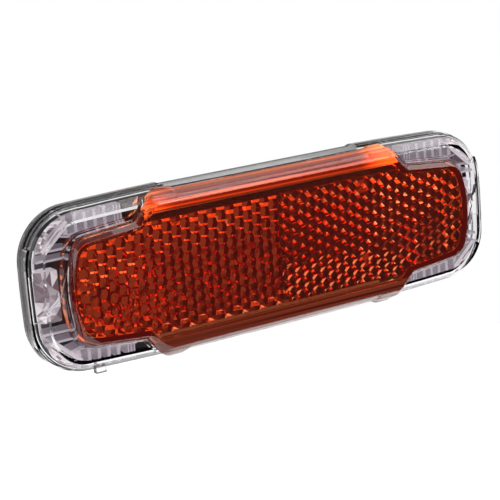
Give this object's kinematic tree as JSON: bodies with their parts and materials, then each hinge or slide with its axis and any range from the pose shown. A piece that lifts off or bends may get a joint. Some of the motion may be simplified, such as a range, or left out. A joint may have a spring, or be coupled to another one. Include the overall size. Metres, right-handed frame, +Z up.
{
  "type": "bicycle tail light",
  "caption": "Flat rack-mounted bicycle tail light: red reflex reflector with tapered wings in a clear lens with ribbed light guides, on a black base with rear studs and underside wire clamps.",
  "frame": {"origin": "centre of the flat mounting face at the back, midway between the two studs", "axes": "+X along the light, to the right as seen from the front; +Y out of the mounting face, the way the studs point; +Z up as mounted; the red lens faces -Y"},
  "size_m": [0.1208, 0.034, 0.0381],
  "materials": {
    "red_acrylic": "polished transparent red acrylic",
    "clear_acrylic": "polished clear acrylic",
    "black_plastic": "fine moulded grain",
    "black_frame": "smooth moulded",
    "zinc_steel": "zinc plated",
    "screw_steel": "zinc plated",
    "board_laminate": "green solder mask",
    "led_package": "white package, clear dome",
    "optic_acrylic": "polished clear acrylic",
    "guide_acrylic": "polished clear acrylic",
    "component_epoxy": "moulded epoxy",
    "ferrite": "pressed ferrite",
    "capacitor_can": "drawn can",
    "capacitor_sleeve": "heat-shrink sleeve",
    "chip_ceramic": "fired ceramic",
    "contact_brass": "tinned ends, rolled strip",
    "clamp_plastic": "smooth moulded",
    "spring_steel": "rolled spring strip",
    "key_plastic": "smooth moulded"
  },
  "bodies": {
    "lamp": {"red_reflector_lens": "red_acrylic", "clear_lens": "clear_acrylic", "base_housing": "black_plastic", "mounting_studs": "zinc_steel", "carrier_frame": "black_frame", "circuit_board": "board_laminate", "board_screws": "screw_steel", "led_left": "led_package", "led_right": "led_package", "led_lens_left": "optic_acrylic", "led_lens_right": "optic_acrylic", "light_guide_left": "guide_acrylic", "light_guide_right": "guide_acrylic", "bridge_rectifier": "component_epoxy", "driver_chip": "component_epoxy", "power_inductor": "ferrite", "standlight_capacitor": "capacitor_can", "smoothing_capacitor": "capacitor_sleeve", "small_components": "chip_ceramic", "ground_spring": "contact_brass", "terminal_housing": "clamp_plastic", "clamp_spring_left": "spring_steel", "clamp_spring_right": "spring_steel", "contact_strips": "contact_brass"},
    "key_left": {"terminal_key_left": "key_plastic"},
    "key_right": {"terminal_key_right": "key_plastic"}
  },
  "joints": [
    {"name": "key_left_push", "type": "slide", "parent": "lamp", "child": "key_left", "axis": [0, 0, 1], "range_m": [0, 0.0015], "stiffness_N_per_m": 400, "springref_m": -0.002},
    {"name": "key_right_push", "type": "slide", "parent": "lamp", "child": "key_right", "axis": [0, 0, 1], "range_m": [0, 0.0015], "stiffness_N_per_m": 400, "springref_m": -0.002}
  ]
}
